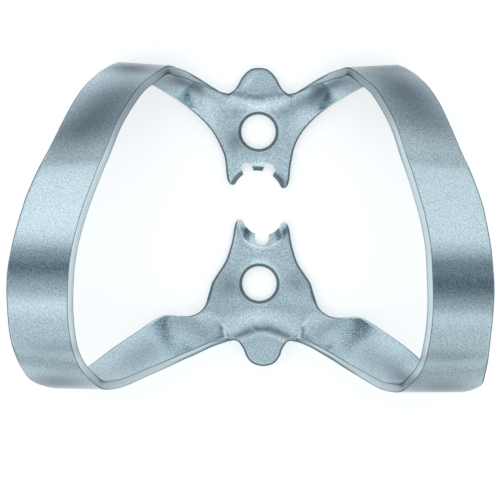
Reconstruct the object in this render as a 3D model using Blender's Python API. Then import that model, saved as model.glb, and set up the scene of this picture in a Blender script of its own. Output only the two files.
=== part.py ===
"""Rubber dam clamp with two bows, bent from one ring of spring steel sheet.

The clamp lies on the undersides of its two jaws, bows up. X runs across the
clamp from bow to bow, Y from the back jaw to the front jaw, Z up. Sizes are in
millimetres, and MM turns them into metres.

The sheet is lofted through ribs. Each rib crosses the ring once, from the inner
edge (the window side of the blank) to the outer edge, and the ribs run from the
front jaw, along the front arm, up and over the bow, down to the back arm and
the back jaw. The other half is the same ribs mirrored. The jaws' holes, gripping
arcs and relief slots are then cut.
"""

import math

import bmesh
import bpy
from mathutils import Vector

MM = 0.001

# Sheet
SHEET = 0.63
EDGE_ROUND = 0.13

# Forceps holes: each jaw is measured from the centre of its own hole
FRONT_HOLE_Y = 7.13
BACK_HOLE_Y = -4.26
HOLE_RADIUS = 1.29
HOLE_RIM = 0.26
HOLE_RIM_DEPTH = 0.16

# Prongs and tabs, as distances from the hole
FRONT_PRONG_REACH = 4.13
BACK_PRONG_REACH = 4.67
FRONT_TAB_REACH = 4.79
BACK_TAB_REACH = 6.19

# Crease where the dished jaw bends back to its level tab: at the middle line and at the root
FRONT_CREASE = 2.50
BACK_CREASE = 3.38
FRONT_ROOT = 2.86
BACK_ROOT = 4.25
ROOT_HALF_WIDTH = 2.24
FRONT_TAB_LIFT = 0.32
BACK_TAB_LIFT = 0.80
DISH_POWER = 1.5
TAB_STEP = 0.12
TAB_STEP_LENGTH = 0.60
SIDE_LIFT = 0.06

# Gripping arc of the front jaw: a cone that opens upwards
FRONT_GRIP_OFFSET = 4.77
FRONT_GRIP_LOW_RADIUS = 1.86
FRONT_GRIP_HIGH_RADIUS = 2.13
FRONT_SLOT_ANGLE = 23.0
FRONT_SLOT_REACH = 2.15
FRONT_SLOT_HALF_WIDTH = 0.42

# Gripping arc of the back jaw: a leaning cone, which leaves a long hollow bevel
BACK_GRIP_LOW_OFFSET = 5.16
BACK_GRIP_LOW_RADIUS = 1.53
BACK_GRIP_HIGH_OFFSET = 4.49
BACK_GRIP_HIGH_RADIUS = 1.87
BACK_NOTCH_DEPTH = 2.88
BACK_NOTCH_HALF_WIDTH = 0.53

# Places of the bends: the corners where the arms turn into the bows, and the bows' crown
CORNER_SPAN = 23.62
CORNER_OFFSET = -0.13
HALF_SPAN = 13.24
CROWN_Y = -4.13
CROWN_HEIGHT = 11.90
FRONT_CORNER_HEIGHT = 4.10
BACK_CORNER_HEIGHT = 8.00

# Bows: the strip leans outwards, with its outer edge up
BOW_WIDTH = 6.07
BOW_LEAN = 38.0

# Uneven bending: sideways places of the jaws, which stray towards the back tab, and of the
# bows, which stray towards both ends, with the heights between which one turns into the other
FRONT_JAW_X = 0.49
BACK_JAW_X = 0.82
BACK_HOLE_X = 0.67
BACK_DRIFT = 0.035
BACK_DRIFT_Y = -5.00
BOW_X = 0.00
BOW_DRIFT = 0.05
BOW_DRIFT_POWER = 0.8
BOW_DRIFT_Y = -3.00
CORNER_DRIFT = 0.05
CORNER_DRIFT_Y = -8.90
FRONT_BLEND_START = 0.40
FRONT_BLEND_END = 2.00
BACK_BLEND_START = 2.00
BACK_BLEND_END = 7.50
PRONG_SKEW = 0.055

# Fineness of the mesh
FACET = 1.05
CROSS_STEPS = 13
ROUND_STEPS = 40
PROBE = 0.02

FLAT_LEVEL = SHEET / 2
FRONT_CORNER_Y = CORNER_SPAN / 2 + CORNER_OFFSET
BACK_CORNER_Y = FRONT_CORNER_Y - CORNER_SPAN


def on_bow(x, y, height, width=BOW_WIDTH):
    """A rib of the bow: its outer edge, and the inner edge out and down from it."""
    lean = math.radians(BOW_LEAN)
    return [x, y, height,
            x + width * math.cos(lean), y, height - width * math.sin(lean), 0.0]


def on_arm(outer, inner, flatness=0.0):
    """A rib of an arm; flatness tells how far it still follows the jaw's own dish."""
    return [*outer, *inner, flatness]


def on_jaw(hole_y, outward, outer, inner, height=FLAT_LEVEL, flatness=1.0):
    """A rib of a jaw, as distances from its hole, with the tab's side positive."""
    return [outer[0], hole_y + outward * outer[1], height,
            inner[0], hole_y + outward * inner[1], FLAT_LEVEL, flatness]


def front_jaw_ribs():
    tab, root, tip = FRONT_TAB_REACH, FRONT_ROOT, -FRONT_PRONG_REACH
    wide = ROOT_HALF_WIDTH
    pairs = [
        ((0.00, tab), (0.00, tip)),
        ((0.35, tab - 0.02), (0.60, tip)),
        ((0.66, tab - 0.12), (1.15, tip)),
        ((1.03, tab - 0.42), (1.60, tip)),
        ((1.32, tab - 0.78), (1.92, tip + 0.02)),
        ((1.57, tab - 1.29), (2.18, tip + 0.17)),
        ((wide - 0.46, root + 0.31), (2.35, tip + 0.65)),
        ((wide - 0.21, root + 0.09), (2.41, tip + 1.35)),
        ((wide + 0.02, root - 0.01), (2.52, tip + 2.10)),
    ]
    ribs = [on_jaw(FRONT_HOLE_Y, 1, outer, inner) for outer, inner in pairs]
    ribs.append(on_jaw(FRONT_HOLE_Y, 1, (wide + 0.33, root + 0.04), (2.76, tip + 2.95), 1.00, 0.85))
    ribs.append(on_jaw(FRONT_HOLE_Y, 1, (wide + 0.68, root + 0.13), (3.15, tip + 3.80), 1.20, 0.70))
    return ribs


def front_arm_ribs():
    corner, top = FRONT_CORNER_Y, FRONT_CORNER_HEIGHT
    return [
        on_arm((3.31, corner - 1.30, top - 2.73), (3.71, corner - 4.09, 0.36), 0.45),
        on_arm((4.22, corner - 0.75, top - 2.15), (4.88, corner - 2.92, 0.44), 0.15),
        on_arm((5.26, corner - 0.31, top - 1.20), (6.80, corner - 1.55, 0.62)),
        on_arm((6.02, corner - 0.14, top - 0.52), (8.90, corner - 0.40, 0.85)),
    ]


def bow_ribs():
    front, back, middle = FRONT_CORNER_Y, BACK_CORNER_Y, CROWN_Y
    crown, half = CROWN_HEIGHT, HALF_SPAN
    front_top, back_top = FRONT_CORNER_HEIGHT, BACK_CORNER_HEIGHT
    return [
        on_arm((6.55, front, front_top), (10.50, front + 0.26, front_top - 3.05)),
        on_bow(7.08, front - 0.27, front_top + 0.90, BOW_WIDTH - 0.28),
        on_bow(7.68, front - 0.76, front_top + 1.62, BOW_WIDTH - 0.31),
        on_bow(8.40, front - 1.32, front_top + 2.15, BOW_WIDTH - 0.50),
        on_bow(9.22, front - 2.46, front_top + 2.88, BOW_WIDTH - 0.53),
        on_bow(10.13, front - 4.15, front_top + 3.95, BOW_WIDTH - 0.61),
        on_bow(10.94, front - 6.38, front_top + 5.32, BOW_WIDTH - 0.34),
        on_bow(half - 1.85, front - 7.53, crown - 1.82, BOW_WIDTH - 0.17),
        on_bow(half - 1.09, middle + 6.06, crown - 1.08),
        on_bow(half - 0.74, middle + 4.92, crown - 0.75, BOW_WIDTH - 0.04),
        on_bow(half - 0.22, middle + 2.53, crown - 0.20, BOW_WIDTH - 0.02),
        on_bow(half, middle, crown, BOW_WIDTH + 0.08),
        on_bow(half + 0.02, middle - 2.30, crown - 0.22, BOW_WIDTH - 0.03),
        on_bow(half - 0.20, back + 3.45, crown - 0.86, BOW_WIDTH - 0.03),
        on_bow(half - 0.50, back + 2.20, crown - 1.36, BOW_WIDTH + 0.02),
        on_bow(half - 0.97, back + 1.25, crown - 1.98, BOW_WIDTH + 0.19),
        on_bow(half - 1.70, back + 0.47, back_top + 1.10, BOW_WIDTH + 0.53),
        on_arm((10.85, back, back_top), (15.30, back + 0.01, back_top - 3.65)),
    ]


def back_arm_ribs():
    corner, top = BACK_CORNER_Y, BACK_CORNER_HEIGHT
    return [
        on_arm((9.93, corner + 0.07, top - 0.52), (14.05, corner + 0.27, 3.75)),
        on_arm((9.10, corner + 0.35, top - 1.05), (12.75, corner + 1.25, 3.10)),
        on_arm((7.96, corner + 0.90, top - 1.95), (10.90, corner + 2.74, 2.35)),
        on_arm((6.76, corner + 1.46, top - 3.05), (9.20, corner + 3.96, 1.55)),
        on_arm((5.63, corner + 2.04, top - 4.10), (7.92, corner + 4.84, 1.05)),
        on_arm((4.97, corner + 2.36, top - 4.75), (7.20, corner + 5.14, 0.85)),
        on_arm((4.29, corner + 2.70, top - 5.20), (6.10, corner + 5.07, 0.66), 0.1),
        on_arm((3.73, corner + 2.97, top - 5.55), (5.26, corner + 5.15, 0.56), 0.25),
        on_arm((3.23, corner + 3.14, top - 5.82), (4.65, corner + 5.47, 0.50), 0.45),
    ]


def back_jaw_ribs():
    tab, root, tip = BACK_TAB_REACH, BACK_ROOT, -BACK_PRONG_REACH
    wide = ROOT_HALF_WIDTH
    ribs = [on_jaw(BACK_HOLE_Y, -1, (wide + 0.47, root + 0.13), (4.29, tip + 6.45), 1.73, 0.7)]
    pairs = [
        ((wide + 0.13, root + 0.05), (4.05, tip + 5.83)),
        ((wide - 0.16, root), (3.87, tip + 5.24)),
        ((wide - 0.38, root + 0.08), (3.69, tip + 4.62)),
        ((wide - 0.54, root + 0.25), (3.17, tip + 3.81)),
        ((1.55, tab - 1.44), (2.71, tip + 3.08)),
        ((1.42, tab - 1.20), (2.43, tip + 2.30)),
        ((1.32, tab - 0.88), (2.20, tip + 1.40)),
        ((1.13, tab - 0.55), (2.06, tip + 0.53)),
        ((0.89, tab - 0.27), (1.91, tip + 0.12)),
        ((0.62, tab - 0.12), (1.70, tip - 0.03)),
        ((0.34, tab - 0.04), (1.30, tip - 0.05)),
        ((0.15, tab - 0.01), (0.65, tip)),
        ((0.00, tab), (0.00, tip)),
    ]
    return ribs + [on_jaw(BACK_HOLE_Y, -1, outer, inner) for outer, inner in pairs]


def half_ring():
    return front_jaw_ribs() + front_arm_ribs() + bow_ribs() + back_arm_ribs() + back_jaw_ribs()


def mirrored(rib):
    return [-rib[0], rib[1], rib[2], -rib[3], rib[4], rib[5], rib[6]]


def rib_distance(rib_a, rib_b):
    return (math.dist(rib_a[0:3], rib_b[0:3]) + math.dist(rib_a[3:6], rib_b[3:6])) / 2


def rib_between(ribs, place):
    """The rib at any place round the closed ring, on a centripetal Catmull-Rom curve."""
    count = len(ribs)
    start = math.floor(place)
    p0, p1, p2, p3 = (ribs[(start + k) % count] for k in (-1, 0, 1, 2))
    t1 = math.sqrt(rib_distance(p0, p1))
    t2 = t1 + math.sqrt(rib_distance(p1, p2))
    t3 = t2 + math.sqrt(rib_distance(p2, p3))
    t = t1 + (place - start) * (t2 - t1)

    def mix(a, b, ta, tb):
        weight = (t - ta) / (tb - ta)
        return [u + weight * (v - u) for u, v in zip(a, b)]

    a1, a2, a3 = mix(p0, p1, 0.0, t1), mix(p1, p2, t1, t2), mix(p2, p3, t2, t3)
    b1, b2 = mix(a1, a2, 0.0, t2), mix(a2, a3, t1, t3)
    return mix(b1, b2, t1, t2)


def is_front(y):
    return y > (FRONT_HOLE_Y + BACK_HOLE_Y) / 2


def jaw_x(y):
    """The jaws' middle line, which isn't quite the same for both and strays at the back tab."""
    return FRONT_JAW_X if is_front(y) else BACK_JAW_X + BACK_DRIFT * max(0.0, BACK_DRIFT_Y - y)


def sideways(y, height):
    """How far a rib stands to the side: with the jaws' line when low, with the bows' when high."""
    bow_x = BOW_X + BOW_DRIFT * max(0.0, y - BOW_DRIFT_Y) ** BOW_DRIFT_POWER
    bow_x += CORNER_DRIFT * max(0.0, CORNER_DRIFT_Y - y)
    if is_front(y):
        low, high = FRONT_BLEND_START, FRONT_BLEND_END
    else:
        low, high = BACK_BLEND_START, BACK_BLEND_END
    share = min(1.0, max(0.0, (height - low) / (high - low)))
    return jaw_x(y) + share * (bow_x - jaw_x(y))


def jaw_place(x, y):
    """A point's hole, crease, root and lift, how far it lies on the tab's side of the
    hole's centre, and how far sideways of the jaw's middle line."""
    if is_front(y):
        values, outward = (FRONT_CREASE, FRONT_ROOT, FRONT_TAB_LIFT), y - FRONT_HOLE_Y
    else:
        values, outward = (BACK_CREASE, BACK_ROOT, BACK_TAB_LIFT), BACK_HOLE_Y - y
    return values, outward, x - jaw_x(y)


def dish_height(x, y):
    """How far a jaw's sheet has risen: flat round the hole, up at both sides and up to the
    crease at the tab's root, then a small step down onto the level tab."""
    (crease, root, lift), outward, aside = jaw_place(x, y)
    crease += (root - crease) * min(1.0, abs(aside) / ROOT_HALF_WIDTH) ** 2
    flat = HOLE_RADIUS + HOLE_RIM
    climb = min(1.0, max(0.0, (outward - flat) / (crease - flat)))
    step = min(1.0, max(0.0, (outward - crease) / TAB_STEP_LENGTH))
    side = SIDE_LIFT * max(0.0, abs(aside) - flat) ** 2
    side *= min(1.0, max(0.0, (outward + flat) / (2 * flat)))
    return lift * climb ** DISH_POWER + side - TAB_STEP * step * step * (3 - 2 * step)


def rib_ends(rib):
    """The rib's inner and outer ends, moved sideways with the uneven bending."""
    inner, outer = Vector(rib[3:6]), Vector(rib[0:3])
    inner.x += sideways(inner.y, outer.z if is_front(inner.y) else inner.z)
    outer.x += sideways(outer.y, outer.z)
    return inner, outer


def askew(x, y):
    """How far a point on a prong lies off its place, as the prongs are ground askew."""
    _, outward, aside = jaw_place(x, y)
    return -PRONG_SKEW * aside * min(1.0, max(0.0, -outward / FRONT_PRONG_REACH))


def settled(point, flatness):
    """The point at its real height: on a jaw, the dish's; on an arm or bow, its own."""
    dished = FLAT_LEVEL + dish_height(point.x, point.y)
    return Vector((point.x, point.y + flatness * askew(point.x, point.y),
                   point.z + flatness * (dished - point.z)))


def sheet_frame(ribs, place, share):
    """The sheet's normal and the direction along the ring, where share runs from the
    inner edge (0) to the outer edge (1)."""
    def surface(at_place, at_share):
        rib = rib_between(ribs, at_place)
        inner, outer = rib_ends(rib)
        return settled(inner.lerp(outer, at_share), rib[6])

    along = surface(place + PROBE, share) - surface(place - PROBE, share)
    across = surface(place, share + PROBE) - surface(place, share - PROBE)
    return across.cross(along).normalized(), along.normalized()


def edge_points(point, normal, side):
    """The four points that break the sheet's edge by EDGE_ROUND, upper face first."""
    half, rim = SHEET / 2, SHEET / 2 - EDGE_ROUND
    face_end = point - side * EDGE_ROUND
    return [face_end + normal * half, point + normal * rim,
            point - normal * rim, face_end - normal * half]


def section(ribs, place):
    """One closed loop round the sheet, with its points closer towards the outer edge."""
    rib = rib_between(ribs, place)
    inner, outer = rib_ends(rib)
    inner_normal, inner_along = sheet_frame(ribs, place, 0.0)
    outer_normal, outer_along = sheet_frame(ribs, place, 1.0)
    inner_side = inner_normal.cross(inner_along).normalized()
    outer_side = outer_along.cross(outer_normal).normalized()
    inner_edge = edge_points(settled(inner, rib[6]), inner_normal, inner_side)
    outer_edge = edge_points(settled(outer, rib[6]), outer_normal, outer_side)
    inner_end, outer_end = inner - inner_side * EDGE_ROUND, outer - outer_side * EDGE_ROUND
    upper, lower = [], []
    for step in range(1, CROSS_STEPS):
        even = step / CROSS_STEPS
        share = even * (1.5 - 0.5 * even)
        normal, _ = sheet_frame(ribs, place, share)
        point = settled(inner_end.lerp(outer_end, share), rib[6])
        upper.append(point + normal * SHEET / 2)
        lower.append(point - normal * SHEET / 2)
    return inner_edge[1::-1] + upper + outer_edge + lower[::-1] + inner_edge[:1:-1]


def ring_loops():
    """The sections of the whole ring, from the front jaw round both bows."""
    half = half_ring()
    ribs = half + [mirrored(rib) for rib in half[-2:0:-1]]
    places = []
    for place, rib in enumerate(ribs):
        length = rib_distance(rib, ribs[(place + 1) % len(ribs)])
        steps = max(1, math.ceil(length / FACET))
        places += [place + step / steps for step in range(steps)]
    return [section(ribs, place) for place in places]


def mesh_from(name, vertex_loops, closed):
    """Loops joined into one skin: a closed ring of them, or a stack with two caps."""
    mesh = bmesh.new()
    loops = [[mesh.verts.new(point * MM) for point in loop] for loop in vertex_loops]
    pairs = list(zip(loops, loops[1:]))
    if closed:
        pairs.append((loops[-1], loops[0]))
    else:
        mesh.faces.new(loops[0])
        mesh.faces.new(loops[-1])
    for loop, following in pairs:
        for k in range(len(loop)):
            after = (k + 1) % len(loop)
            mesh.faces.new((loop[k], loop[after], following[after], following[k]))
    bmesh.ops.recalc_face_normals(mesh, faces=mesh.faces)
    data = bpy.data.meshes.new(name)
    mesh.to_mesh(data)
    mesh.free()
    return data


def circle(x, y, z, radius):
    """A circle round (x, y), a little askew where the prongs are."""
    turns = [2 * math.pi * k / ROUND_STEPS for k in range(ROUND_STEPS)]
    ring = [(x + radius * math.cos(turn), y + radius * math.sin(turn)) for turn in turns]
    return [Vector((at_x, at_y + askew(at_x, at_y), z)) for at_x, at_y in ring]


def hole_cutter(name, x, y):
    """A round hole with a countersunk rim on both faces."""
    wide, depth = HOLE_RADIUS + 2 * HOLE_RIM, HOLE_RIM_DEPTH
    profile = [(-depth, wide), (depth, HOLE_RADIUS),
               (SHEET - depth, HOLE_RADIUS), (SHEET + depth, wide)]
    return mesh_from(name, [circle(x, y, z, radius) for z, radius in profile], closed=False)


def grip_cutter(name, low_y, low_radius, high_y, high_radius):
    """A cone through the jaw, given by its circles on the sheet's two faces."""
    def ring(share):
        return circle(jaw_x(low_y), low_y + share * (high_y - low_y), share * SHEET,
                      low_radius + share * (high_radius - low_radius))
    return mesh_from(name, [ring(-0.5), ring(1.5)], closed=False)


def slot_cutter(name, start_y, outward, reach, angle, half_width):
    """A straight slot from start_y into the jaw, with its round end's centre at reach."""
    arc = [math.pi * k / (ROUND_STEPS // 2) for k in range(ROUND_STEPS // 2 + 1)]
    outline = [(half_width * math.cos(turn), reach + half_width * math.sin(turn)) for turn in arc]
    outline += [(-half_width, 0.0), (half_width, 0.0)]
    turn = math.radians(angle)
    ring = [(jaw_x(start_y) + x * math.cos(turn) + y * math.sin(turn),
             start_y + outward * (y * math.cos(turn) - x * math.sin(turn))) for x, y in outline]
    levels = [[Vector((x, y + askew(x, y), z)) for x, y in ring] for z in (-SHEET, 2 * SHEET)]
    return mesh_from(name, levels, closed=False)


def steel():
    material = bpy.data.materials.new("spring_steel")
    material.use_nodes = True
    shader = material.node_tree.nodes["Principled BSDF"]
    shader.inputs["Base Color"].default_value = (0.50, 0.60, 0.65, 1.0)
    shader.inputs["Metallic"].default_value = 1.0
    shader.inputs["Roughness"].default_value = 0.35
    return material


def new_object(mesh):
    item = bpy.data.objects.new(mesh.name, mesh)
    bpy.context.scene.collection.objects.link(item)
    return item


def cut(body, cutter_mesh):
    cutter = new_object(cutter_mesh)
    cutter.hide_render = True
    cutter.display_type = 'WIRE'
    boolean = body.modifiers.new(cutter.name, 'BOOLEAN')
    boolean.operation = 'DIFFERENCE'
    boolean.solver = 'EXACT'
    boolean.object = cutter


def build():
    for item in list(bpy.data.objects):
        bpy.data.objects.remove(item, do_unlink=True)

    mesh = mesh_from("clamp", ring_loops(), closed=True)
    mesh.materials.append(steel())
    mesh.shade_smooth()
    mesh.set_sharp_from_angle(angle=math.radians(30))
    clamp = new_object(mesh)

    front_grip_y = FRONT_HOLE_Y - FRONT_GRIP_OFFSET
    back_grip_y = BACK_HOLE_Y + BACK_GRIP_LOW_OFFSET
    for side, angle in (("left", -FRONT_SLOT_ANGLE), ("right", FRONT_SLOT_ANGLE)):
        cut(clamp, slot_cutter("front_slot_" + side, front_grip_y, 1, FRONT_SLOT_REACH,
                               angle, FRONT_SLOT_HALF_WIDTH))
    cut(clamp, hole_cutter("front_hole", FRONT_JAW_X, FRONT_HOLE_Y))
    cut(clamp, hole_cutter("back_hole", BACK_HOLE_X, BACK_HOLE_Y))
    cut(clamp, grip_cutter("front_grip", front_grip_y, FRONT_GRIP_LOW_RADIUS,
                           front_grip_y, FRONT_GRIP_HIGH_RADIUS))
    cut(clamp, grip_cutter("back_grip", back_grip_y, BACK_GRIP_LOW_RADIUS,
                           BACK_HOLE_Y + BACK_GRIP_HIGH_OFFSET, BACK_GRIP_HIGH_RADIUS))
    notch_reach = BACK_GRIP_LOW_OFFSET - BACK_NOTCH_DEPTH - BACK_NOTCH_HALF_WIDTH
    cut(clamp, slot_cutter("back_notch", back_grip_y, -1, notch_reach, 0.0,
                           BACK_NOTCH_HALF_WIDTH))


build()
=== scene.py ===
"""Looks of the rubber dam clamp: satin spring steel on a pale floor, seen from above.

The clamp's form is the solid's own, lofted again from the same ribs with finer
facets, rounder edges and wider rims. Sizes are in millimetres, MM turns them into
metres, and colours are linear.
"""

import math

import bmesh
import bpy
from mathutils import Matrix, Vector


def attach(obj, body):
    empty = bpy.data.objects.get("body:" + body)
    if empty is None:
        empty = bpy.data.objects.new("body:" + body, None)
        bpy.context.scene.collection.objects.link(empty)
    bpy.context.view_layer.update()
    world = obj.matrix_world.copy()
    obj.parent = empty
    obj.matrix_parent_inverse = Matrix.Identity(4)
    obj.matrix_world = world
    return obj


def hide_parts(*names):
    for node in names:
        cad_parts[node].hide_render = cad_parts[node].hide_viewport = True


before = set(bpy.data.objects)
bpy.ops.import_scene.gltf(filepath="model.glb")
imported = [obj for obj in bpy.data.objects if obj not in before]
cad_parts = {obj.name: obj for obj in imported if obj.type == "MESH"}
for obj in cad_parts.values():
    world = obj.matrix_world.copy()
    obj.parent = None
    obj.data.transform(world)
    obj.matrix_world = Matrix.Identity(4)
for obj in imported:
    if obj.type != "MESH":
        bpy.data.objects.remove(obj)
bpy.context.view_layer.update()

MM = 0.001

# Photograph: its scale, the pixel where the clamp's own frame starts, and the clamp's turn
PHOTO_SIZE = 500
PIXELS_PER_MM = 13.4
ORIGIN_COLUMN = 250.80
ORIGIN_ROW = 226.57
PHOTO_TURN = 0.55

# Camera: a long lens far above, which has the photograph's scale at SCALE_LEVEL
LENS = 1200.0
SENSOR = 36.0
SCALE_LEVEL = 7.0
CLIP_START = 10.0
CLIP_END = 20000.0

# Sheet
SHEET = 0.63
EDGE_ROUND = 0.21
EDGE_STEPS = 5

# Forceps holes: each jaw is measured from the centre of its own hole
FRONT_HOLE_Y = 7.13
BACK_HOLE_Y = -4.26
HOLE_RADIUS = 1.29
HOLE_RIM = 0.31
HOLE_RIM_DEPTH = 0.16

# Faint lip, pressed round each hole and along each gripping arc
LIP_WIDTH = 0.24
LIP_DEPTH = 0.045

# Prongs and tabs, as distances from the hole
FRONT_PRONG_REACH = 4.13
BACK_PRONG_REACH = 4.67
FRONT_TAB_REACH = 4.79
BACK_TAB_REACH = 6.19

# Crease where the dished jaw bends back to its level tab: at the middle line and at the
# root, to which it curves over CREASE_SPREAD half widths. Beyond SOFT_FROM half widths it
# fades.
FRONT_CREASE = 2.50
BACK_CREASE = 3.38
FRONT_ROOT = 2.86
BACK_ROOT = 4.25
ROOT_HALF_WIDTH = 2.24
CREASE_SPREAD = 1.3
SOFT_FROM = 0.75
FRONT_TAB_LIFT = 0.32
BACK_TAB_LIFT = 0.80
DISH_POWER = 1.5
TAB_STEP = 0.12
TAB_STEP_LENGTH = 0.60
SIDE_LIFT = 0.06

# Gripping arc of the front jaw: a cone that opens upwards, and starts below the sheet by
# GRIP_START of its thickness
GRIP_START = 0.5
FRONT_GRIP_OFFSET = 4.77
FRONT_GRIP_LOW_RADIUS = 1.86
FRONT_GRIP_HIGH_RADIUS = 2.22
FRONT_SLOT_ANGLE = 23.0
FRONT_SLOT_REACH = 2.15
FRONT_SLOT_HALF_WIDTH = 0.42

# Gripping arc of the back jaw: a leaning cone, which leaves a long hollow bevel
BACK_GRIP_LOW_OFFSET = 5.16
BACK_GRIP_LOW_RADIUS = 1.53
BACK_GRIP_HIGH_OFFSET = 4.49
BACK_GRIP_HIGH_RADIUS = 1.87
BACK_NOTCH_DEPTH = 2.88
BACK_NOTCH_HALF_WIDTH = 0.53

# Places of the bends: the corners where the arms turn into the bows, and the bows' crown
CORNER_SPAN = 23.62
CORNER_OFFSET = -0.13
HALF_SPAN = 13.24
CROWN_Y = -4.13
CROWN_HEIGHT = 11.90
FRONT_CORNER_HEIGHT = 4.10
BACK_CORNER_HEIGHT = 8.00

# Bows: the strip leans outwards, with its outer edge up
BOW_WIDTH = 6.07
BOW_LEAN = 38.0

# Uneven bending: sideways places of the jaws, which stray towards the back tab, and of the
# bows, which stray towards both ends, with the heights between which one turns into the other
FRONT_JAW_X = 0.49
BACK_JAW_X = 0.82
BACK_HOLE_X = 0.67
BACK_DRIFT = 0.035
BACK_DRIFT_Y = -5.00
BOW_X = 0.00
BOW_DRIFT = 0.05
BOW_DRIFT_POWER = 0.8
BOW_DRIFT_Y = -3.00
CORNER_DRIFT = 0.05
CORNER_DRIFT_Y = -8.90
FRONT_BLEND_START = 0.40
FRONT_BLEND_END = 2.00
BACK_BLEND_START = 2.00
BACK_BLEND_END = 7.50
PRONG_SKEW = 0.055

# Fineness of the mesh: the sections' points crowd towards the outer edge, PROBE is the step
# over which normals are measured, and edges bent by more than SHARP_ANGLE look sharp
FACET = 0.40
CROSS_STEPS = 36
CROWDING = 0.5
ROUND_STEPS = 96
GRIP_STEPS = 6
PROBE = 0.02
SHARP_ANGLE = 38.0

# Blasted grain of the steel: its scale and roughness, the levels between which it varies
# most, and its height
GRAIN_SCALE = 8500.0
GRAIN_DETAIL = 2.0
GRAIN_ROUGHNESS = 0.7
GRAIN_LOW = 0.36
GRAIN_HIGH = 0.64
GRAIN_HEIGHT = 0.03
GRAIN_STRENGTH = 0.10
SPECULAR = 0.15

# Finishes: how metallic each looks, with the two tints and two roughnesses between which
# its grain varies. The pale edge finish is a painted highlight and the dark rim finish a painted
# shade.
SATIN = (1.0, (0.40, 0.53, 0.60), (0.68, 0.82, 0.88), 0.14, 0.22)
# Painted highlight: a pale finish for the edges that face up where the sheet stands
EDGE_HIGHLIGHT = (0.1, (0.78, 0.94, 1.00), (0.85, 0.98, 1.00), 0.34, 0.42)
# Painted shade: a dark finish for the edges' rims
RIM_SHADE = (0.0, (0.13, 0.19, 0.23), (0.20, 0.28, 0.32), 0.45, 0.55)
# The cut faces' ground finish is tinted dark, partly for the grinding and partly as painted shade
# on these steep faces
GROUND = (0.4, (0.12, 0.17, 0.20), (0.20, 0.27, 0.31), 0.26, 0.36)

# What painted shade of strength -1 leaves of red, green and blue: painted shade turns bluish
SHADE_TINT = (-0.14, 0.02, 0.05)

# Materials, counted by FACE to CUT, each with its finish where the sheet lies on the jaws,
# its finish where it stands, and the attribute that turns one into the other. A fringe is
# the narrow strip of an edge's round beside a face; it turns to painted shade where the sheet
# stands. The edge is painted shade, with a painted highlight where it stands and faces up.
FACE, FRINGE, EDGE, CUT = range(4)
STEELS = [
    ("satin_face", SATIN, SATIN, "standing"),
    # Satin where the sheet lies, painted shade where it stands
    ("edge_fringe_shaded_where_standing", SATIN, RIM_SHADE, "standing"),
    # Painted shade, with a painted highlight where the sheet stands and the edge faces up
    ("edge_shade_and_highlight", RIM_SHADE, EDGE_HIGHLIGHT, "painted_highlight"),
    ("ground_cut", GROUND, GROUND, "standing"),
]

# Levels between which the sheet turns from lying to standing, and upward parts of the
# normal between which a standing edge turns from painted shade to painted highlight
LYING_BELOW = 1.2
STANDING_ABOVE = 2.8
FACES_OUT = 0.42
FACES_UP = 0.60

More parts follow.
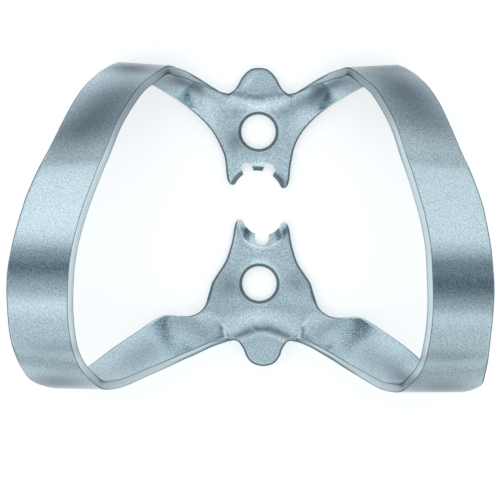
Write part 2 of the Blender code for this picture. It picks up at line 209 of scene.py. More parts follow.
# Painted shade and painted highlight on the satin, standing in for reflections: patches that are
# darker (below 0) or brighter, each with its middle, its half length and half width, its turn in
# degrees, and its strength
LIGHT_PATCHES = [
    # Front jaw: tab, sides of the hole, prongs and teeth
    (-0.28, 10.85, 0.80, 0.15, 50.0, 0.40),
    (0.49, 8.88, 0.90, 0.22, 0.0, 0.25),
    (-1.10, 8.90, 0.60, 0.70, 0.0, -0.20),
    (-1.33, 6.35, 0.60, 0.90, 0.0, -0.42),
    (0.40, 4.40, 2.20, 0.90, 0.0, 0.26),
    (0.70, 4.66, 0.55, 0.14, 0.0, 0.70),
    (0.62, 4.26, 0.70, 0.24, 0.0, -0.60),
    (-0.58, 3.77, 0.70, 0.20, 45.0, -0.68),
    (2.25, 3.65, 0.80, 0.20, -50.0, -0.72),
    # Front arms
    (3.97, 9.30, 2.20, 0.60, 20.0, -0.45),
    (-4.40, 9.75, 1.00, 0.50, -25.0, 0.30),
    (-4.45, 9.30, 0.35, 0.80, 0.0, 0.30),
    (6.04, 9.87, 0.80, 0.60, 25.0, 0.32),
    (-4.30, 10.35, 1.80, 0.35, -26.0, -0.35),
    (5.30, 10.35, 1.80, 0.35, 26.0, -0.35),
    (-5.60, 10.90, 1.60, 0.80, -25.0, -0.42),
    (6.40, 10.80, 1.60, 0.80, 25.0, -0.36),
    # Back jaw: hollow, prongs, sides of the hole and tab
    (-0.52, -0.34, 0.26, 0.50, 40.0, -0.85),
    (2.52, -0.34, 0.26, 0.50, -30.0, -0.85),
    (0.00, -0.95, 0.80, 0.30, -35.0, 0.70),
    (-0.15, -1.30, 0.80, 0.20, -35.0, 0.40),
    (1.90, -1.25, 0.70, 0.20, 40.0, 0.30),
    (0.85, -1.66, 0.80, 0.18, 0.0, 0.35),
    (-1.35, -1.20, 0.25, 1.20, -10.0, 0.20),
    (0.67, -2.52, 0.90, 0.22, 0.0, 0.28),
    (-1.60, -4.45, 0.80, 0.90, 0.0, -0.42),
    (3.40, -4.15, 0.80, 0.70, 0.0, -0.35),
    (0.70, -6.90, 1.50, 0.35, 0.0, 0.22),
    (-2.02, -7.95, 0.26, 0.60, 0.0, 0.50),
    (4.02, -8.05, 0.26, 0.50, 0.0, 0.50),
    # Back arms
    (-6.42, -7.90, 0.70, 1.20, 0.0, 0.62),
    (7.88, -7.90, 0.70, 1.20, 0.0, 0.62),
    (-5.15, -8.64, 0.70, 0.90, 0.0, 0.25),
    (6.42, -8.49, 0.70, 0.90, 0.0, 0.35),
    (-8.20, -9.80, 2.80, 1.20, 29.0, -0.40),
    (9.00, -9.80, 2.80, 1.20, -29.0, -0.32),
    (11.27, -10.90, 1.20, 0.70, -29.0, -0.35),
    # Bows: their front bends, then the stripes at their back corners
    (-9.10, 11.80, 2.00, 0.45, 0.0, -0.55),
    (-10.70, 9.30, 4.80, 1.90, 28.0, -0.70),
    (-12.60, 6.80, 4.20, 1.30, 10.0, -0.28),
    (10.80, 10.80, 4.80, 1.90, -30.0, -0.80),
    (12.60, 8.10, 4.60, 1.20, -10.0, -0.22),
    (-14.40, -9.30, 3.20, 0.60, 0.0, -0.32),
    (-14.40, -10.60, 3.20, 0.40, 0.0, -0.06),
    (-14.40, -11.90, 3.40, 0.90, 0.0, -0.75),
    (14.40, -9.70, 3.20, 0.60, 0.0, -0.36),
    (14.40, -11.20, 3.20, 0.40, 0.0, -0.14),
    (14.40, -12.00, 3.40, 0.80, 0.0, -0.72),
]

# Folds: lines of painted shade and painted highlight along each crease, each with its distance
# beyond the crease, its half width and its strength
FRONT_FOLD_SHADING = [(0.05, 0.20, -0.60), (-0.50, 0.28, 0.15)]
BACK_FOLD_SHADING = [(-0.10, 0.28, -0.68), (0.55, 0.35, -0.12)]
FOLD_HALF_LENGTH = 2.3

# Floor: a white pool round the clamp, which turns grey and pales again farther off. Its
# paint gives it the studio's light, and its glow the rest of the white that is seen.
FLOOR_HALF_WIDTH = 3000.0
FLOOR_GAP = 0.01
FLOOR_PAINT = 0.88
FLOOR_GLOW = 0.47
POOL_RADIUS = 24.0
POOL_END = 44.0
FLOOR_BESIDE = 0.54
FAR_START = 44.0
FAR_END = 90.0
FLOOR_FAR = 0.88

# Studio: light by direction from the back (-1) to the front (1), low down in STUDIO and
# overhead in CANOPY. It is turned a little, and weaker on the right.
STUDIO_TURN = 0.06
LOW_UP_TO = 0.38
HIGH_FROM = 0.62
WEAKER_RIGHT = 0.10
STUDIO = [
    (-1.00, (0.48, 0.52, 0.54)),
    (-0.72, (0.52, 0.56, 0.58)),
    (-0.52, (0.68, 0.71, 0.72)),
    (-0.26, (0.98, 0.99, 1.00)),
    (-0.10, (0.50, 0.54, 0.56)),
    (0.09, (0.10, 0.14, 0.17)),
    (0.22, (0.26, 0.31, 0.34)),
    (0.34, (0.78, 0.81, 0.82)),
    (0.46, (1.12, 1.13, 1.13)),
    (0.60, (1.10, 1.11, 1.11)),
    (0.76, (0.72, 0.75, 0.76)),
    (1.00, (0.56, 0.60, 0.62)),
]
CANOPY = [
    (-0.85, (0.66, 0.70, 0.72)),
    (-0.60, (0.95, 0.97, 0.98)),
    (-0.36, (0.92, 0.94, 0.95)),
    (-0.14, (0.74, 0.77, 0.79)),
    (0.02, (0.68, 0.72, 0.74)),
    (0.16, (0.58, 0.62, 0.64)),
    (0.40, (0.60, 0.64, 0.66)),
    (0.66, (0.84, 0.87, 0.88)),
    (0.90, (0.80, 0.83, 0.84)),
]

FLAT_LEVEL = SHEET / 2
FRONT_CORNER_Y = CORNER_SPAN / 2 + CORNER_OFFSET
BACK_CORNER_Y = FRONT_CORNER_Y - CORNER_SPAN


def on_bow(x, y, height, width=BOW_WIDTH):
    """A rib of the bow: its outer edge, and the inner edge out and down from it."""
    lean = math.radians(BOW_LEAN)
    return [x, y, height,
            x + width * math.cos(lean), y, height - width * math.sin(lean), 0.0]


def on_arm(outer, inner, flatness=0.0):
    """A rib of an arm; flatness tells how far it still follows the jaw's own dish."""
    return [*outer, *inner, flatness]


def on_jaw(hole_y, outward, outer, inner, height=FLAT_LEVEL, flatness=1.0):
    """A rib of a jaw, as distances from its hole, with the tab's side positive."""
    return [outer[0], hole_y + outward * outer[1], height,
            inner[0], hole_y + outward * inner[1], FLAT_LEVEL, flatness]


def front_jaw_ribs():
    tab, root, tip = FRONT_TAB_REACH, FRONT_ROOT, -FRONT_PRONG_REACH
    wide = ROOT_HALF_WIDTH
    pairs = [
        ((0.00, tab), (0.00, tip)),
        ((0.35, tab - 0.02), (0.60, tip)),
        ((0.66, tab - 0.12), (1.15, tip)),
        ((1.03, tab - 0.42), (1.60, tip)),
        ((1.32, tab - 0.78), (1.92, tip + 0.02)),
        ((1.57, tab - 1.29), (2.18, tip + 0.17)),
        ((wide - 0.46, root + 0.31), (2.35, tip + 0.65)),
        ((wide - 0.21, root + 0.09), (2.41, tip + 1.35)),
        ((wide + 0.02, root - 0.01), (2.52, tip + 2.10)),
    ]
    ribs = [on_jaw(FRONT_HOLE_Y, 1, outer, inner) for outer, inner in pairs]
    ribs.append(on_jaw(FRONT_HOLE_Y, 1, (wide + 0.33, root + 0.04), (2.76, tip + 2.95), 1.00, 0.85))
    ribs.append(on_jaw(FRONT_HOLE_Y, 1, (wide + 0.68, root + 0.13), (3.15, tip + 3.80), 1.20, 0.70))
    return ribs


def front_arm_ribs():
    corner, top = FRONT_CORNER_Y, FRONT_CORNER_HEIGHT
    return [
        on_arm((3.31, corner - 1.30, top - 2.73), (3.71, corner - 4.09, 0.36), 0.45),
        on_arm((4.22, corner - 0.75, top - 2.15), (4.88, corner - 2.92, 0.44), 0.15),
        on_arm((5.26, corner - 0.31, top - 1.20), (6.80, corner - 1.55, 0.62)),
        on_arm((6.02, corner - 0.14, top - 0.52), (8.90, corner - 0.40, 0.85)),
    ]


def bow_ribs():
    front, back, middle = FRONT_CORNER_Y, BACK_CORNER_Y, CROWN_Y
    crown, half = CROWN_HEIGHT, HALF_SPAN
    front_top, back_top = FRONT_CORNER_HEIGHT, BACK_CORNER_HEIGHT
    return [
        on_arm((6.55, front, front_top), (10.50, front + 0.26, front_top - 3.05)),
        on_bow(7.08, front - 0.27, front_top + 0.90, BOW_WIDTH - 0.28),
        on_bow(7.68, front - 0.76, front_top + 1.62, BOW_WIDTH - 0.31),
        on_bow(8.40, front - 1.32, front_top + 2.15, BOW_WIDTH - 0.50),
        on_bow(9.22, front - 2.46, front_top + 2.88, BOW_WIDTH - 0.53),
        on_bow(10.13, front - 4.15, front_top + 3.95, BOW_WIDTH - 0.61),
        on_bow(10.94, front - 6.38, front_top + 5.32, BOW_WIDTH - 0.34),
        on_bow(half - 1.85, front - 7.53, crown - 1.82, BOW_WIDTH - 0.17),
        on_bow(half - 1.09, middle + 6.06, crown - 1.08),
        on_bow(half - 0.74, middle + 4.92, crown - 0.75, BOW_WIDTH - 0.04),
        on_bow(half - 0.22, middle + 2.53, crown - 0.20, BOW_WIDTH - 0.02),
        on_bow(half, middle, crown, BOW_WIDTH + 0.08),
        on_bow(half + 0.02, middle - 2.30, crown - 0.22, BOW_WIDTH - 0.03),
        on_bow(half - 0.20, back + 3.45, crown - 0.86, BOW_WIDTH - 0.03),
        on_bow(half - 0.50, back + 2.20, crown - 1.36, BOW_WIDTH + 0.02),
        on_bow(half - 0.97, back + 1.25, crown - 1.98, BOW_WIDTH + 0.19),
        on_bow(half - 1.70, back + 0.47, back_top + 1.10, BOW_WIDTH + 0.53),
        on_arm((10.85, back, back_top), (15.30, back + 0.01, back_top - 3.65)),
    ]


def back_arm_ribs():
    corner, top = BACK_CORNER_Y, BACK_CORNER_HEIGHT
    return [
        on_arm((9.93, corner + 0.07, top - 0.52), (14.05, corner + 0.27, 3.75)),
        on_arm((9.10, corner + 0.35, top - 1.05), (12.75, corner + 1.25, 3.10)),
        on_arm((7.96, corner + 0.90, top - 1.95), (10.90, corner + 2.74, 2.35)),
        on_arm((6.76, corner + 1.46, top - 3.05), (9.20, corner + 3.96, 1.55)),
        on_arm((5.63, corner + 2.04, top - 4.10), (7.92, corner + 4.84, 1.05)),
        on_arm((4.97, corner + 2.36, top - 4.75), (7.20, corner + 5.14, 0.85)),
        on_arm((4.29, corner + 2.70, top - 5.20), (6.10, corner + 5.07, 0.66), 0.1),
        on_arm((3.73, corner + 2.97, top - 5.55), (5.26, corner + 5.15, 0.56), 0.25),
        on_arm((3.23, corner + 3.14, top - 5.82), (4.65, corner + 5.47, 0.50), 0.45),
    ]


def back_jaw_ribs():
    tab, root, tip = BACK_TAB_REACH, BACK_ROOT, -BACK_PRONG_REACH
    wide = ROOT_HALF_WIDTH
    ribs = [on_jaw(BACK_HOLE_Y, -1, (wide + 0.47, root + 0.13), (4.29, tip + 6.45), 1.73, 0.7)]
    pairs = [
        ((wide + 0.13, root + 0.05), (4.05, tip + 5.83)),
        ((wide - 0.16, root), (3.87, tip + 5.24)),
        ((wide - 0.38, root + 0.08), (3.69, tip + 4.62)),
        ((wide - 0.54, root + 0.25), (3.17, tip + 3.81)),
        ((1.55, tab - 1.44), (2.71, tip + 3.08)),
        ((1.42, tab - 1.20), (2.43, tip + 2.30)),
        ((1.32, tab - 0.88), (2.20, tip + 1.40)),
        ((1.13, tab - 0.55), (2.06, tip + 0.53)),
        ((0.89, tab - 0.27), (1.91, tip + 0.12)),
        ((0.62, tab - 0.12), (1.70, tip - 0.03)),
        ((0.34, tab - 0.04), (1.30, tip - 0.05)),
        ((0.15, tab - 0.01), (0.65, tip)),
        ((0.00, tab), (0.00, tip)),
    ]
    return ribs + [on_jaw(BACK_HOLE_Y, -1, outer, inner) for outer, inner in pairs]


def half_ring():
    return front_jaw_ribs() + front_arm_ribs() + bow_ribs() + back_arm_ribs() + back_jaw_ribs()


def mirrored(rib):
    return [-rib[0], rib[1], rib[2], -rib[3], rib[4], rib[5], rib[6]]


def rib_distance(rib_a, rib_b):
    return (math.dist(rib_a[0:3], rib_b[0:3]) + math.dist(rib_a[3:6], rib_b[3:6])) / 2


def rib_between(ribs, place):
    """The rib at any place round the closed ring, on a centripetal Catmull-Rom curve."""
    count = len(ribs)
    start = math.floor(place)
    p0, p1, p2, p3 = (ribs[(start + k) % count] for k in (-1, 0, 1, 2))
    t1 = math.sqrt(rib_distance(p0, p1))
    t2 = t1 + math.sqrt(rib_distance(p1, p2))
    t3 = t2 + math.sqrt(rib_distance(p2, p3))
    t = t1 + (place - start) * (t2 - t1)

    def mix(a, b, ta, tb):
        weight = (t - ta) / (tb - ta)
        return [u + weight * (v - u) for u, v in zip(a, b)]

    a1, a2, a3 = mix(p0, p1, 0.0, t1), mix(p1, p2, t1, t2), mix(p2, p3, t2, t3)
    b1, b2 = mix(a1, a2, 0.0, t2), mix(a2, a3, t1, t3)
    return mix(b1, b2, t1, t2)


def is_front(y):
    return y > (FRONT_HOLE_Y + BACK_HOLE_Y) / 2


def jaw_x(y):
    """The jaws' middle line, which isn't quite the same for both and strays at the back tab."""
    return FRONT_JAW_X if is_front(y) else BACK_JAW_X + BACK_DRIFT * max(0.0, BACK_DRIFT_Y - y)


def sideways(y, height):
    """How far a rib stands to the side: with the jaws' line when low, with the bows' when high."""
    bow_x = BOW_X + BOW_DRIFT * max(0.0, y - BOW_DRIFT_Y) ** BOW_DRIFT_POWER
    bow_x += CORNER_DRIFT * max(0.0, CORNER_DRIFT_Y - y)
    if is_front(y):
        low, high = FRONT_BLEND_START, FRONT_BLEND_END
    else:
        low, high = BACK_BLEND_START, BACK_BLEND_END
    share = min(1.0, max(0.0, (height - low) / (high - low)))
    return jaw_x(y) + share * (bow_x - jaw_x(y))


def jaw_place(x, y):
    """A point's hole, crease, root and lift, how far it lies on the tab's side of the
    hole's centre, and how far sideways of the jaw's middle line."""
    if is_front(y):
        values, outward = (FRONT_CREASE, FRONT_ROOT, FRONT_TAB_LIFT), y - FRONT_HOLE_Y
    else:
        values, outward = (BACK_CREASE, BACK_ROOT, BACK_TAB_LIFT), BACK_HOLE_Y - y
    return values, outward, x - jaw_x(y)


def eased(value, low, high):
    """0 below low and 1 above high, with a smooth turn between."""
    share = min(1.0, max(0.0, (value - low) / (high - low)))
    return share * share * (3 - 2 * share)


def crease_at(x, y):
    """How far from its hole the crease lies, curving smoothly from its middle to the root."""
    (crease, root, _), _, aside = jaw_place(x, y)
    return crease + (root - crease) * eased(abs(aside), 0.0, CREASE_SPREAD * ROOT_HALF_WIDTH)


def dish_height(x, y):
    """How far a jaw's sheet has risen: flat round the hole, up at both sides and up to the
    crease at the tab's root, then a small step down onto the level tab."""
    (_, _, lift), outward, aside = jaw_place(x, y)
    crease = crease_at(x, y)
    flat = HOLE_RADIUS + HOLE_RIM
    climb = max(0.0, (outward - flat) / (crease - flat))
    softness = min(1.0, max(0.0, abs(aside) / ROOT_HALF_WIDTH - SOFT_FROM))
    climb = min(1.0, climb) + softness * (climb / (1 + climb ** 4) ** 0.25 - min(1.0, climb))
    step = eased(outward - crease, 0.0, TAB_STEP_LENGTH)
    side = SIDE_LIFT * max(0.0, abs(aside) - flat) ** 2
    side *= min(1.0, max(0.0, (outward + flat) / (2 * flat)))
    return lift * climb ** DISH_POWER + side - TAB_STEP * step


def rib_ends(rib):
    """The rib's inner and outer ends, moved sideways with the uneven bending."""
    inner, outer = Vector(rib[3:6]), Vector(rib[0:3])
    inner.x += sideways(inner.y, outer.z if is_front(inner.y) else inner.z)
    outer.x += sideways(outer.y, outer.z)
    return inner, outer


def askew(x, y):
    """How far a point on a prong lies off its place, as the prongs are ground askew."""
    _, outward, aside = jaw_place(x, y)
    return -PRONG_SKEW * aside * min(1.0, max(0.0, -outward / FRONT_PRONG_REACH))


def settled(point, flatness):
    """The point at its real height: on a jaw, the dish's; on an arm or bow, its own."""
    dished = FLAT_LEVEL + dish_height(point.x, point.y)
    return Vector((point.x, point.y + flatness * askew(point.x, point.y),
                   point.z + flatness * (dished - point.z)))


def sheet_frame(ribs, place, share):
    """The sheet's normal and the direction along the ring, where share runs from the
    inner edge (0) to the outer edge (1)."""
    def surface(at_place, at_share):
        rib = rib_between(ribs, at_place)
        inner, outer = rib_ends(rib)
        return settled(inner.lerp(outer, at_share), rib[6])

    along = surface(place + PROBE, share) - surface(place - PROBE, share)
    across = surface(place, share + PROBE) - surface(place, share - PROBE)
    return across.cross(along).normalized(), along.normalized()


def edge_points(point, normal, side):
    """The points that round the sheet's two corners by EDGE_ROUND, upper face first."""
    rim = SHEET / 2 - EDGE_ROUND
    turns = [math.pi / 2 * k / EDGE_STEPS for k in range(EDGE_STEPS, -1, -1)]
    middle = point - side * EDGE_ROUND
    upper = [middle + side * EDGE_ROUND * math.cos(turn)
             + normal * (rim + EDGE_ROUND * math.sin(turn)) for turn in turns]
    lower = [middle + side * EDGE_ROUND * math.cos(turn)
             - normal * (rim + EDGE_ROUND * math.sin(turn)) for turn in reversed(turns)]
    return upper + lower


def section(ribs, place):
    """One closed loop round the sheet, with its points closer towards the outer edge."""
    rib = rib_between(ribs, place)
    inner, outer = rib_ends(rib)
    inner_normal, inner_along = sheet_frame(ribs, place, 0.0)
    outer_normal, outer_along = sheet_frame(ribs, place, 1.0)
    inner_side = inner_normal.cross(inner_along).normalized()
    outer_side = outer_along.cross(outer_normal).normalized()
    inner_edge = edge_points(settled(inner, rib[6]), inner_normal, inner_side)
    outer_edge = edge_points(settled(outer, rib[6]), outer_normal, outer_side)
    inner_end, outer_end = inner - inner_side * EDGE_ROUND, outer - outer_side * EDGE_ROUND
    upper, lower = [], []
    for step in range(1, CROSS_STEPS):
        even = step / CROSS_STEPS
        share = even * (1 + CROWDING - CROWDING * even)
        normal, _ = sheet_frame(ribs, place, share)
        point = settled(inner_end.lerp(outer_end, share), rib[6])
        upper.append(point + normal * SHEET / 2)
        lower.append(point - normal * SHEET / 2)
    half = len(inner_edge) // 2
    return inner_edge[half - 1::-1] + upper + outer_edge + lower[::-1] + inner_edge[:half - 1:-1]


def ring_loops():
    """The sections of the whole ring, from the front jaw round both bows."""
    half = half_ring()
    ribs = half + [mirrored(rib) for rib in half[-2:0:-1]]
    places = []
    for place, rib in enumerate(ribs):
        length = rib_distance(rib, ribs[(place + 1) % len(ribs)])
        steps = max(1, math.ceil(length / FACET))
        places += [place + step / steps for step in range(steps)]
    return [section(ribs, place) for place in places]


def material_at(k, count):
    """The material of a section's face that follows point k."""
    arc = EDGE_STEPS + 1
    outer = arc + CROSS_STEPS - 1
    if arc - 1 <= k < outer or outer + 2 * arc - 1 <= k < count - arc:
        return FACE
    if k in (arc - 2, outer, outer + 2 * arc - 2, count - arc):
        return FRINGE
    return EDGE


def mesh_from(name, vertex_loops, closed, cuts=None):
    """Loops joined into one skin: a closed ring of them, or a stack with two caps. The
    sheet's edges have materials of their own, and so has what a stack cuts, where cuts
    can name one for each of its levels."""
    mesh = bmesh.new()
    loops = [[mesh.verts.new(point * MM) for point in loop] for loop in vertex_loops]
    pairs = list(zip(loops, loops[1:]))
    if closed:
        pairs.append((loops[-1], loops[0]))
    else:
        mesh.faces.new(loops[0])
        mesh.faces.new(loops[-1])
    for level, (loop, following) in enumerate(pairs):
        cut = cuts[level] if cuts else CUT
        for k in range(len(loop)):
            after = (k + 1) % len(loop)
            face = mesh.faces.new((loop[k], loop[after], following[after], following[k]))
            face.material_index = material_at(k, len(loop)) if closed else cut
    bmesh.ops.recalc_face_normals(mesh, faces=mesh.faces)
    data = bpy.data.meshes.new(name)
    mesh.to_mesh(data)
    mesh.free()
    return data


def circle(x, y, z, radius):
    """A circle round (x, y), a little askew where the prongs are."""
    turns = [2 * math.pi * k / ROUND_STEPS for k in range(ROUND_STEPS)]
    ring = [(x + radius * math.cos(turn), y + radius * math.sin(turn)) for turn in turns]
    return [Vector((at_x, at_y + askew(at_x, at_y), z)) for at_x, at_y in ring]


def hole_cutter(name, x, y):
    """A round hole with a countersunk rim on both faces, and a faint lip on the upper one."""
    wide, depth = HOLE_RADIUS + 2 * HOLE_RIM, HOLE_RIM_DEPTH
    lip = HOLE_RADIUS + HOLE_RIM
    profile = [(-depth, wide), (depth, HOLE_RADIUS), (SHEET - depth, HOLE_RADIUS),
               (SHEET - LIP_DEPTH, lip - HOLE_RIM * LIP_DEPTH / depth),
               (SHEET + LIP_DEPTH, lip + 2 * LIP_WIDTH)]
    rings = [circle(x, y, z, radius) for z, radius in profile]
    return mesh_from(name, rings, closed=False, cuts=[CUT, CUT, CUT, FACE])


def grip_cutter(name, low_y, low_radius, high_y, high_radius, cut):
    """A cone through the jaw, given by its circles on the sheet's two faces, with a faint
    lip on the upper one."""
    def ring(share, wider=0.0):
        return circle(jaw_x(low_y), low_y + share * (high_y - low_y), share * SHEET,
                      low_radius + share * (high_radius - low_radius) + wider)

    lip = LIP_DEPTH / SHEET
    shares = [-GRIP_START, *(step / GRIP_STEPS for step in range(GRIP_STEPS)), 1.0 - lip]
    rings = [ring(share) for share in shares] + [ring(1.0 + lip, 2 * LIP_WIDTH)]
    return mesh_from(name, rings, closed=False, cuts=[cut] * (len(shares) - 1) + [FACE])


def slot_cutter(name, start_y, outward, reach, angle, half_width):
    """A straight slot from start_y into the jaw, with its round end's centre at reach."""
    arc = [math.pi * k / (ROUND_STEPS // 2) for k in range(ROUND_STEPS // 2 + 1)]
    outline = [(half_width * math.cos(turn), reach + half_width * math.sin(turn)) for turn in arc]
    outline += [(-half_width, 0.0), (half_width, 0.0)]
    turn = math.radians(angle)
    ring = [(jaw_x(start_y) + x * math.cos(turn) + y * math.sin(turn),
             start_y + outward * (y * math.cos(turn) - x * math.sin(turn))) for x, y in outline]
    levels = [[Vector((x, y + askew(x, y), z)) for x, y in ring] for z in (-SHEET, 2 * SHEET)]
    return mesh_from(name, levels, closed=False)


def linked(mesh):
    item = bpy.data.objects.new(mesh.name, mesh)
    bpy.context.scene.collection.objects.link(item)
    return item


def cutters():
    front_grip_y = FRONT_HOLE_Y - FRONT_GRIP_OFFSET
    back_grip_y = BACK_HOLE_Y + BACK_GRIP_LOW_OFFSET
    notch_reach = BACK_GRIP_LOW_OFFSET - BACK_NOTCH_DEPTH - BACK_NOTCH_HALF_WIDTH
    meshes = [slot_cutter("front_slot_" + side, front_grip_y, 1, FRONT_SLOT_REACH,
                          angle, FRONT_SLOT_HALF_WIDTH)
              for side, angle in (("left", -FRONT_SLOT_ANGLE), ("right", FRONT_SLOT_ANGLE))]
    return meshes + [
        hole_cutter("front_hole", FRONT_JAW_X, FRONT_HOLE_Y),
        hole_cutter("back_hole", BACK_HOLE_X, BACK_HOLE_Y),
        grip_cutter("front_grip", front_grip_y, FRONT_GRIP_LOW_RADIUS,
                    front_grip_y, FRONT_GRIP_HIGH_RADIUS, CUT),
        grip_cutter("back_grip", back_grip_y, BACK_GRIP_LOW_RADIUS,
                    BACK_HOLE_Y + BACK_GRIP_HIGH_OFFSET, BACK_GRIP_HIGH_RADIUS, FACE),
        slot_cutter("back_notch", back_grip_y, -1, notch_reach, 0.0, BACK_NOTCH_HALF_WIDTH),
    ]


def painted_light_at(x, y):
    """The painted highlight (above 0) and painted shade (below 0) at a point, in millimetres: how
    much brighter and duller than the rest the steel is painted there.
    """
    painted_light = 0.0
    for middle_x, middle_y, half_length, half_width, degrees, strength in LIGHT_PATCHES:
        turn = math.radians(degrees)
        along = (x - middle_x) * math.cos(turn) + (y - middle_y) * math.sin(turn)
        across = (y - middle_y) * math.cos(turn) - (x - middle_x) * math.sin(turn)
        painted_light += strength * math.exp(-(along / half_length) ** 2 - (across / half_width) ** 2)
    _, outward, aside = jaw_place(x, y)
    beyond = outward - crease_at(x, y)
    for place, half_width, strength in FRONT_FOLD_SHADING if is_front(y) else BACK_FOLD_SHADING:
        painted_light += strength * math.exp(-((beyond - place) / half_width) ** 2
                                      - (aside / FOLD_HALF_LENGTH) ** 4)
    return painted_light


def feed(tree, socket, source):
    """Sets a socket to a plain number or colour, or links it to another node's output."""
    if isinstance(source, bpy.types.NodeSocket):
        tree.links.new(source, socket)
    else:
        socket.default_value = (*source, 1.0) if isinstance(source, tuple) else source


def maths(tree, operation, first, second):
    node = tree.nodes.new("ShaderNodeMath")
    node.operation = operation
    feed(tree, node.inputs[0], first)
    feed(tree, node.inputs[1], second)
    return node.outputs["Value"]


def mapped(tree, source, start, end, first=0.0, last=1.0, smooth=False):
    """Turns the range from start to end into the one from first to last, and holds it there."""
    node = tree.nodes.new("ShaderNodeMapRange")
    node.interpolation_type = 'SMOOTHSTEP' if smooth else 'LINEAR'
    feed(tree, node.inputs["Value"], source)
    feed(tree, node.inputs["From Min"], start)
    feed(tree, node.inputs["From Max"], end)
    feed(tree, node.inputs["To Min"], first)
    feed(tree, node.inputs["To Max"], last)
    return node.outputs["Result"]


def mixed(tree, share, first, second):
    """A colour between two colours, or beyond them where the share is outside 0 to 1."""
    node = tree.nodes.new("ShaderNodeMix")
    node.data_type = 'RGBA'
    node.clamp_factor = False
    feed(tree, node.inputs[0], share)
    feed(tree, node.inputs[6], first)
    feed(tree, node.inputs[7], second)
    return node.outputs[2]


def attribute(tree, name):
    node = tree.nodes.new("ShaderNodeAttribute")
    node.attribute_name = name
    return node.outputs["Fac"]


def blasted_grain(tree):
    place = tree.nodes.new("ShaderNodeTexCoord")
    grain = tree.nodes.new("ShaderNodeTexNoise")
    grain.inputs["Scale"].default_value = GRAIN_SCALE
    grain.inputs["Detail"].default_value = GRAIN_DETAIL
    grain.inputs["Roughness"].default_value = GRAIN_ROUGHNESS
    tree.links.new(place.outputs["Object"], grain.inputs["Vector"])
    return grain.outputs["Fac"]


def steel(name, lying, standing, turned_by):
    """Spring steel with a fine blasted grain, which turns from the finish that it has where
    the sheet lies to the one that it has where the sheet stands, and whose tint carries the
    painted shade and painted highlight of the patches and creases."""
    material = bpy.data.materials.new(name)
    material.use_nodes = True
    tree = material.node_tree
    shader = tree.nodes["Principled BSDF"]
    shader.inputs["Specular IOR Level"].default_value = SPECULAR
    grain = blasted_grain(tree)
    speckle = mapped(tree, grain, GRAIN_LOW, GRAIN_HIGH)
    stands = attribute(tree, turned_by)

    tint = mixed(tree, stands, mixed(tree, speckle, lying[1], lying[2]),
                 mixed(tree, speckle, standing[1], standing[2]))
    # Painted shade and highlight: the patches darken the tint, and turn it bluish, below 0, and
    # brighten it above 0
    painted_darkening = mapped(tree, attribute(tree, "painted_light"), -1.0, 1.0, 1.0, -1.0)
    shade = tree.nodes.new("ShaderNodeVectorMath")
    shade.operation = 'MULTIPLY'
    tree.links.new(tint, shade.inputs[0])
    tree.links.new(mixed(tree, painted_darkening, (1.0, 1.0, 1.0), SHADE_TINT), shade.inputs[1])
    roughness = mapped(tree, stands, 0.0, 1.0, mapped(tree, speckle, 0.0, 1.0, lying[3], lying[4]),
                       mapped(tree, speckle, 0.0, 1.0, standing[3], standing[4]))
    bump = tree.nodes.new("ShaderNodeBump")
    bump.inputs["Strength"].default_value = GRAIN_STRENGTH
    bump.inputs["Distance"].default_value = GRAIN_HEIGHT * MM
    tree.links.new(grain, bump.inputs["Height"])

    tree.links.new(shade.outputs["Vector"], shader.inputs["Base Color"])
    tree.links.new(mapped(tree, stands, 0.0, 1.0, lying[0], standing[0]), shader.inputs["Metallic"])
    tree.links.new(roughness, shader.inputs["Roughness"])
    tree.links.new(bump.outputs["Normal"], shader.inputs["Normal"])
    return material


def clamp_mesh():
    """The lofted ring with every cutter taken away, as one plain mesh."""
    blank = linked(mesh_from("clamp_blank", ring_loops(), closed=True))
    for kind in STEELS:
        blank.data.materials.append(steel(*kind))
    tools = [linked(mesh) for mesh in cutters()]
    for tool in tools:
        boolean = blank.modifiers.new(tool.name, 'BOOLEAN')
        boolean.operation = 'DIFFERENCE'
        boolean.solver = 'EXACT'
        boolean.object = tool
    bpy.context.view_layer.update()
    evaluated = blank.evaluated_get(bpy.context.evaluated_depsgraph_get())
    mesh = bpy.data.meshes.new_from_object(evaluated)
    mesh.name = "clamp_finish"
    for item in [blank, *tools]:
        bpy.data.objects.remove(item, do_unlink=True)
    # Per vertex: the painted shade and highlight of the patches, how far the sheet stands, and the
    # painted edge highlight
    painted_light, standing, painted_highlight = [mesh.attributes.new(name, 'FLOAT', 'POINT')
                                  for name in ("painted_light", "standing", "painted_highlight")]
    for vertex in mesh.vertices:
        place = vertex.co / MM
        stands = eased(place.z, LYING_BELOW, STANDING_ABOVE)
        painted_light.data[vertex.index].value = painted_light_at(place.x, place.y)
        standing.data[vertex.index].value = stands
        painted_highlight.data[vertex.index].value = stands * eased(vertex.normal.z, FACES_OUT, FACES_UP)
    mesh.shade_smooth()
    mesh.set_sharp_from_angle(angle=math.radians(SHARP_ANGLE))
    return mesh


def add_clamp():
    clamp = linked(clamp_mesh())
    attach(clamp, "root")
    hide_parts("clamp")


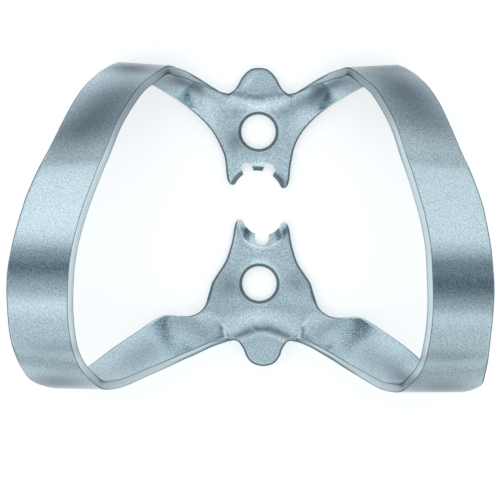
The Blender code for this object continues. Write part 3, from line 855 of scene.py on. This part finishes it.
def add_floor():
    """A floor with a white pool, which keeps the clamp's soft shadow, and grey round it."""
    half = FLOOR_HALF_WIDTH * MM
    mesh = bpy.data.meshes.new("floor")
    corners = [(-half, -half, 0.0), (half, -half, 0.0), (half, half, 0.0), (-half, half, 0.0)]
    mesh.from_pydata(corners, [], [(0, 1, 2, 3)])
    floor = linked(mesh)
    floor.location.z = -FLOOR_GAP * MM
    material = bpy.data.materials.new("white_floor")
    material.use_nodes = True
    tree = material.node_tree
    tree.nodes.clear()

    place = tree.nodes.new("ShaderNodeTexCoord")
    away = tree.nodes.new("ShaderNodeVectorMath")
    away.operation = 'LENGTH'
    tree.links.new(place.outputs["Object"], away.inputs[0])
    near = mapped(tree, away.outputs["Value"], POOL_RADIUS * MM, POOL_END * MM,
                  1.0, FLOOR_BESIDE, smooth=True)
    far = mapped(tree, away.outputs["Value"], FAR_START * MM, FAR_END * MM,
                 0.0, FLOOR_FAR, smooth=True)
    white = maths(tree, 'MAXIMUM', near, far)

    paint = tree.nodes.new("ShaderNodeBsdfDiffuse")
    tree.links.new(maths(tree, 'MULTIPLY', white, FLOOR_PAINT), paint.inputs["Color"])
    path = tree.nodes.new("ShaderNodeLightPath")
    seen = maths(tree, 'ADD', path.outputs["Is Camera Ray"], path.outputs["Is Glossy Ray"])
    seen = maths(tree, 'ADD', seen, path.outputs["Is Transmission Ray"])
    glow = tree.nodes.new("ShaderNodeEmission")
    level = maths(tree, 'MULTIPLY', maths(tree, 'MULTIPLY', seen, white), FLOOR_GLOW)
    tree.links.new(level, glow.inputs["Strength"])
    both = tree.nodes.new("ShaderNodeAddShader")
    output = tree.nodes.new("ShaderNodeOutputMaterial")
    tree.links.new(paint.outputs[0], both.inputs[0])
    tree.links.new(glow.outputs[0], both.inputs[1])
    tree.links.new(both.outputs[0], output.inputs["Surface"])
    floor.data.materials.append(material)


def light_by_direction(tree, direction, stops):
    """The colour of the light for a direction that runs from -1 to 1."""
    node = tree.nodes.new("ShaderNodeValToRGB")
    share = maths(tree, 'ADD', maths(tree, 'MULTIPLY', direction, 0.5), 0.5)
    tree.links.new(share, node.inputs["Fac"])
    node.color_ramp.interpolation = 'EASE'
    while len(node.color_ramp.elements) < len(stops):
        node.color_ramp.elements.new(0.5)
    for element, (place, colour) in zip(node.color_ramp.elements, stops):
        element.position = (place + 1) / 2
        element.color = (*colour, 1.0)
    return node.outputs["Color"]


def add_light():
    """A studio painted on the world: long light bands low down at the front and the back, a
    dark one between them, and softer light overhead."""
    world = bpy.data.worlds.new("studio")
    bpy.context.scene.world = world
    world.use_nodes = True
    tree = world.node_tree
    background = tree.nodes["Background"]
    direction = tree.nodes.new("ShaderNodeTexCoord")
    axes = tree.nodes.new("ShaderNodeSeparateXYZ")
    tree.links.new(direction.outputs["Generated"], axes.inputs[0])
    x, y, z = axes.outputs["X"], axes.outputs["Y"], axes.outputs["Z"]

    turned = maths(tree, 'ADD', y, maths(tree, 'MULTIPLY', x, STUDIO_TURN))
    light = mixed(tree, mapped(tree, z, LOW_UP_TO, HIGH_FROM, smooth=True),
                  light_by_direction(tree, turned, STUDIO),
                  light_by_direction(tree, turned, CANOPY))
    tree.links.new(light, background.inputs["Color"])
    strength = maths(tree, 'ADD', maths(tree, 'MULTIPLY', x, -WEAKER_RIGHT), 1.0)
    tree.links.new(strength, background.inputs["Strength"])


def add_camera():
    """Straight above, at the photograph's scale, with the clamp's slight turn in it."""
    width = PHOTO_SIZE / PIXELS_PER_MM * MM
    data = bpy.data.cameras.new("camera")
    data.lens = LENS
    data.sensor_width = SENSOR
    data.clip_start, data.clip_end = CLIP_START * MM, CLIP_END * MM
    camera = bpy.data.objects.new("camera", data)
    bpy.context.scene.collection.objects.link(camera)
    centre_x = (PHOTO_SIZE / 2 - ORIGIN_COLUMN) / PIXELS_PER_MM * MM
    centre_y = (ORIGIN_ROW - PHOTO_SIZE / 2) / PIXELS_PER_MM * MM
    camera.location = (centre_x, centre_y, SCALE_LEVEL * MM + width * LENS / SENSOR)
    camera.rotation_euler = (0.0, 0.0, math.radians(PHOTO_TURN))
    bpy.context.scene.camera = camera


add_clamp()
add_floor()
add_light()
add_camera()
bpy.context.scene.view_settings.view_transform = 'Standard'
